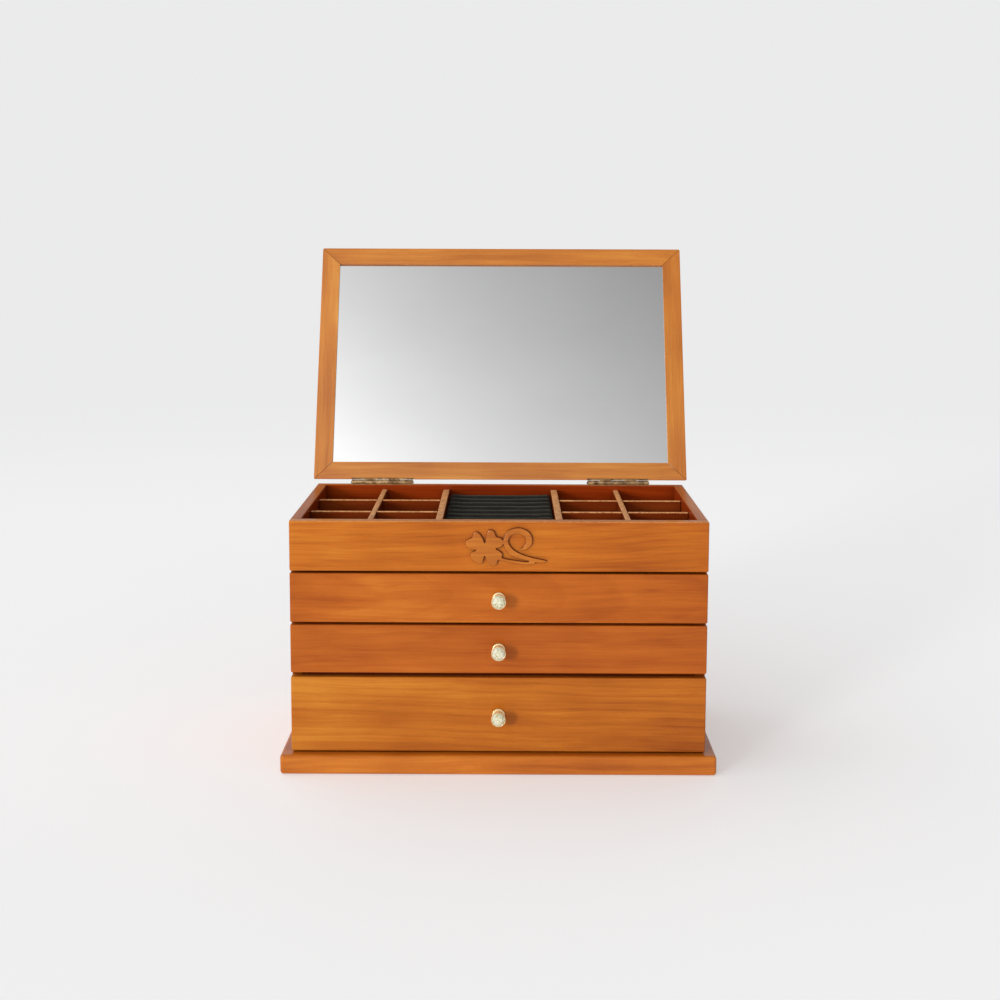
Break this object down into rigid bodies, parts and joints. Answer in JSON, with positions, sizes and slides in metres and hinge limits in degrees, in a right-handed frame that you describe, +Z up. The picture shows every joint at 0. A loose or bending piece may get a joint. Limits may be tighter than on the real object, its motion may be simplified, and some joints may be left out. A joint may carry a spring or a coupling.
{
  "type": "jewelry box",
  "caption": "Wooden jewelry box with stacked drawers, a divided top tray with a ring cushion, and a hinged lid with a mirror inside, shown open.",
  "frame": {"origin": "middle of the plinth's flat underside", "axes": "+Z up, +X to the right as seen from the front, +Y towards the back; the drawers open towards -Y"},
  "size_m": [0.305, 0.3171, 0.3635],
  "materials": {
    "stained_wood": "honey-orange stain under satin lacquer",
    "stained_interior": "red-brown stain, matt",
    "black_velvet": "short velvet pile",
    "mirror_glass": "polished silvered glass",
    "antique_brass": "darkened, brushed",
    "gold_plate": "polished gold plating",
    "crystal": "faceted, clear"
  },
  "bodies": {
    "carcass": {"base_plinth": "stained_wood", "left_side": "stained_wood", "right_side": "stained_wood", "back_panel": "stained_wood", "front_panel": "stained_wood", "clover_carving": "stained_wood", "shelf_upper": "stained_interior", "shelf_lower": "stained_interior", "tray_floor": "stained_interior", "ring_divider_left": "stained_interior", "ring_divider_right": "stained_interior", "column_divider_left": "stained_interior", "column_divider_right": "stained_interior", "cross_divider_left_front": "stained_interior", "cross_divider_left_rear": "stained_interior", "cross_divider_right_front": "stained_interior", "cross_divider_right_rear": "stained_interior", "tray_lining": "black_velvet", "ring_cushion": "black_velvet", "left_hinge_box_leaf": "antique_brass", "left_hinge_pin": "antique_brass", "left_hinge_box_screw_1": "antique_brass", "left_hinge_box_screw_2": "antique_brass", "right_hinge_box_leaf": "antique_brass", "right_hinge_pin": "antique_brass", "right_hinge_box_screw_1": "antique_brass", "right_hinge_box_screw_2": "antique_brass"},
    "lid": {"lid_panel": "stained_wood", "lid_front_rail": "stained_wood", "lid_rear_rail": "stained_wood", "lid_left_stile": "stained_wood", "lid_right_stile": "stained_wood", "mirror": "mirror_glass", "left_hinge_lid_leaf": "antique_brass", "left_hinge_lid_screw_1": "antique_brass", "left_hinge_lid_screw_2": "antique_brass", "right_hinge_lid_leaf": "antique_brass", "right_hinge_lid_screw_1": "antique_brass", "right_hinge_lid_screw_2": "antique_brass"},
    "top_drawer": {"top_drawer_front": "stained_wood", "top_drawer_left_side": "stained_interior", "top_drawer_right_side": "stained_interior", "top_drawer_back": "stained_interior", "top_drawer_floor": "stained_interior", "top_drawer_knob": "gold_plate", "top_drawer_crystal": "crystal"},
    "middle_drawer": {"middle_drawer_front": "stained_wood", "middle_drawer_left_side": "stained_interior", "middle_drawer_right_side": "stained_interior", "middle_drawer_back": "stained_interior", "middle_drawer_floor": "stained_interior", "middle_drawer_knob": "gold_plate", "middle_drawer_crystal": "crystal"},
    "bottom_drawer": {"bottom_drawer_front": "stained_wood", "bottom_drawer_left_side": "stained_interior", "bottom_drawer_right_side": "stained_interior", "bottom_drawer_back": "stained_interior", "bottom_drawer_floor": "stained_interior", "bottom_drawer_knob": "gold_plate", "bottom_drawer_crystal": "crystal"}
  },
  "joints": [
    {"name": "lid_hinge", "type": "hinge", "parent": "carcass", "child": "lid", "pos_m": [0, 0.1002, 0.179], "axis": [1, 0, 0], "range_deg": [0, 117]},
    {"name": "top_drawer_slide", "type": "slide", "parent": "carcass", "child": "top_drawer", "axis": [0, -1, 0], "range_m": [0, 0.14]},
    {"name": "middle_drawer_slide", "type": "slide", "parent": "carcass", "child": "middle_drawer", "axis": [0, -1, 0], "range_m": [0, 0.14]},
    {"name": "bottom_drawer_slide", "type": "slide", "parent": "carcass", "child": "bottom_drawer", "axis": [0, -1, 0], "range_m": [0, 0.14]}
  ]
}
